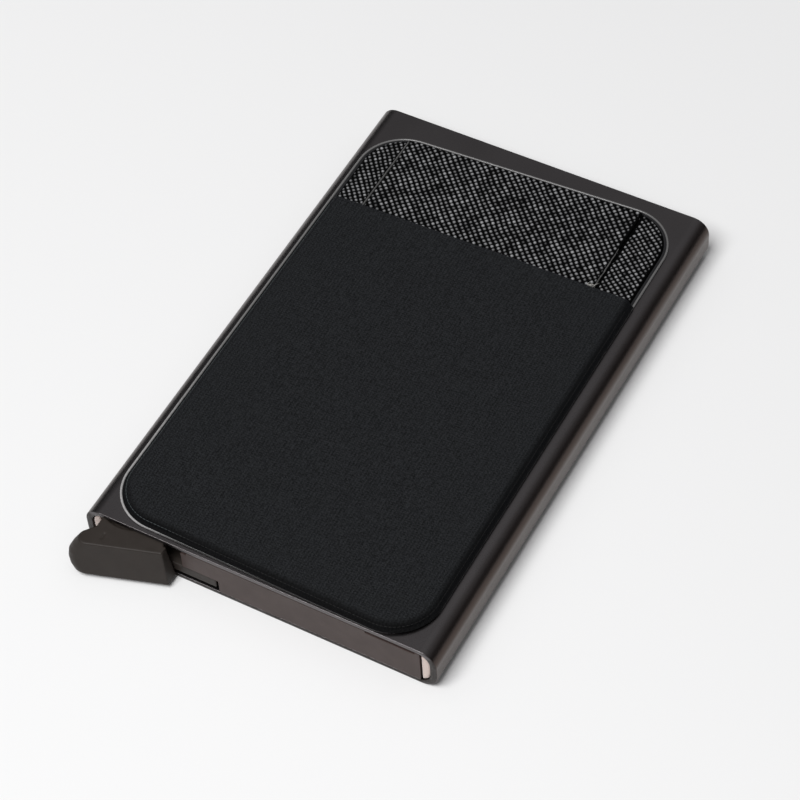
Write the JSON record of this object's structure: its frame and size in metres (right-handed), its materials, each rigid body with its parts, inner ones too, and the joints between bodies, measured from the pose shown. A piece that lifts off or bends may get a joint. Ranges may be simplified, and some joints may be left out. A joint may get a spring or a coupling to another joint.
{
  "type": "pop-up card wallet with stretch pouch",
  "caption": "Slim aluminium card case with a thumb lever at one end that lifts the cards in steps, and a stretch-fabric pouch on its front face.",
  "frame": {"origin": "centre of the case's back face, on which the wallet lies", "axes": "+X to the right across the case, +Y along the case towards the open mouth, +Z out of the front face towards the pouch"},
  "size_m": [0.063, 0.105, 0.0105],
  "materials": {
    "anodised_shell": "matt anodised, near black with a warm tint",
    "base_plastic": "moulded, satin, dark brown-grey",
    "lever_plastic": "moulded, matt, near black",
    "pin_steel": "ground",
    "grip_felt": "short pile, pale warm grey",
    "adhesive": "soft, milky",
    "film": "glossy film with a thin bright rim",
    "leather_side": "fine cross grain, satin",
    "leather_grain": "embossed diagonal cross grain with glints",
    "lycra": "fine stretch knit, matt, bluish black"
  },
  "bodies": {
    "case": {"housing": "anodised_shell", "base_insert": "base_plastic", "base_cover": "base_plastic", "pivot_pin": "pin_steel", "grip_strip_left": "grip_felt", "grip_strip_right": "grip_felt", "adhesive_sheet": "adhesive", "carrier_film": "film", "leather_backing": "leather_side", "leather_panel": "leather_grain", "pouch": "lycra"},
    "lever": {"lever": "lever_plastic"}
  },
  "joints": [
    {"name": "lever_pivot", "type": "hinge", "parent": "case", "child": "lever", "pos_m": [-0.025, -0.0428, 0.00425], "axis": [0, 0, 1], "range_deg": [0, 32]}
  ]
}
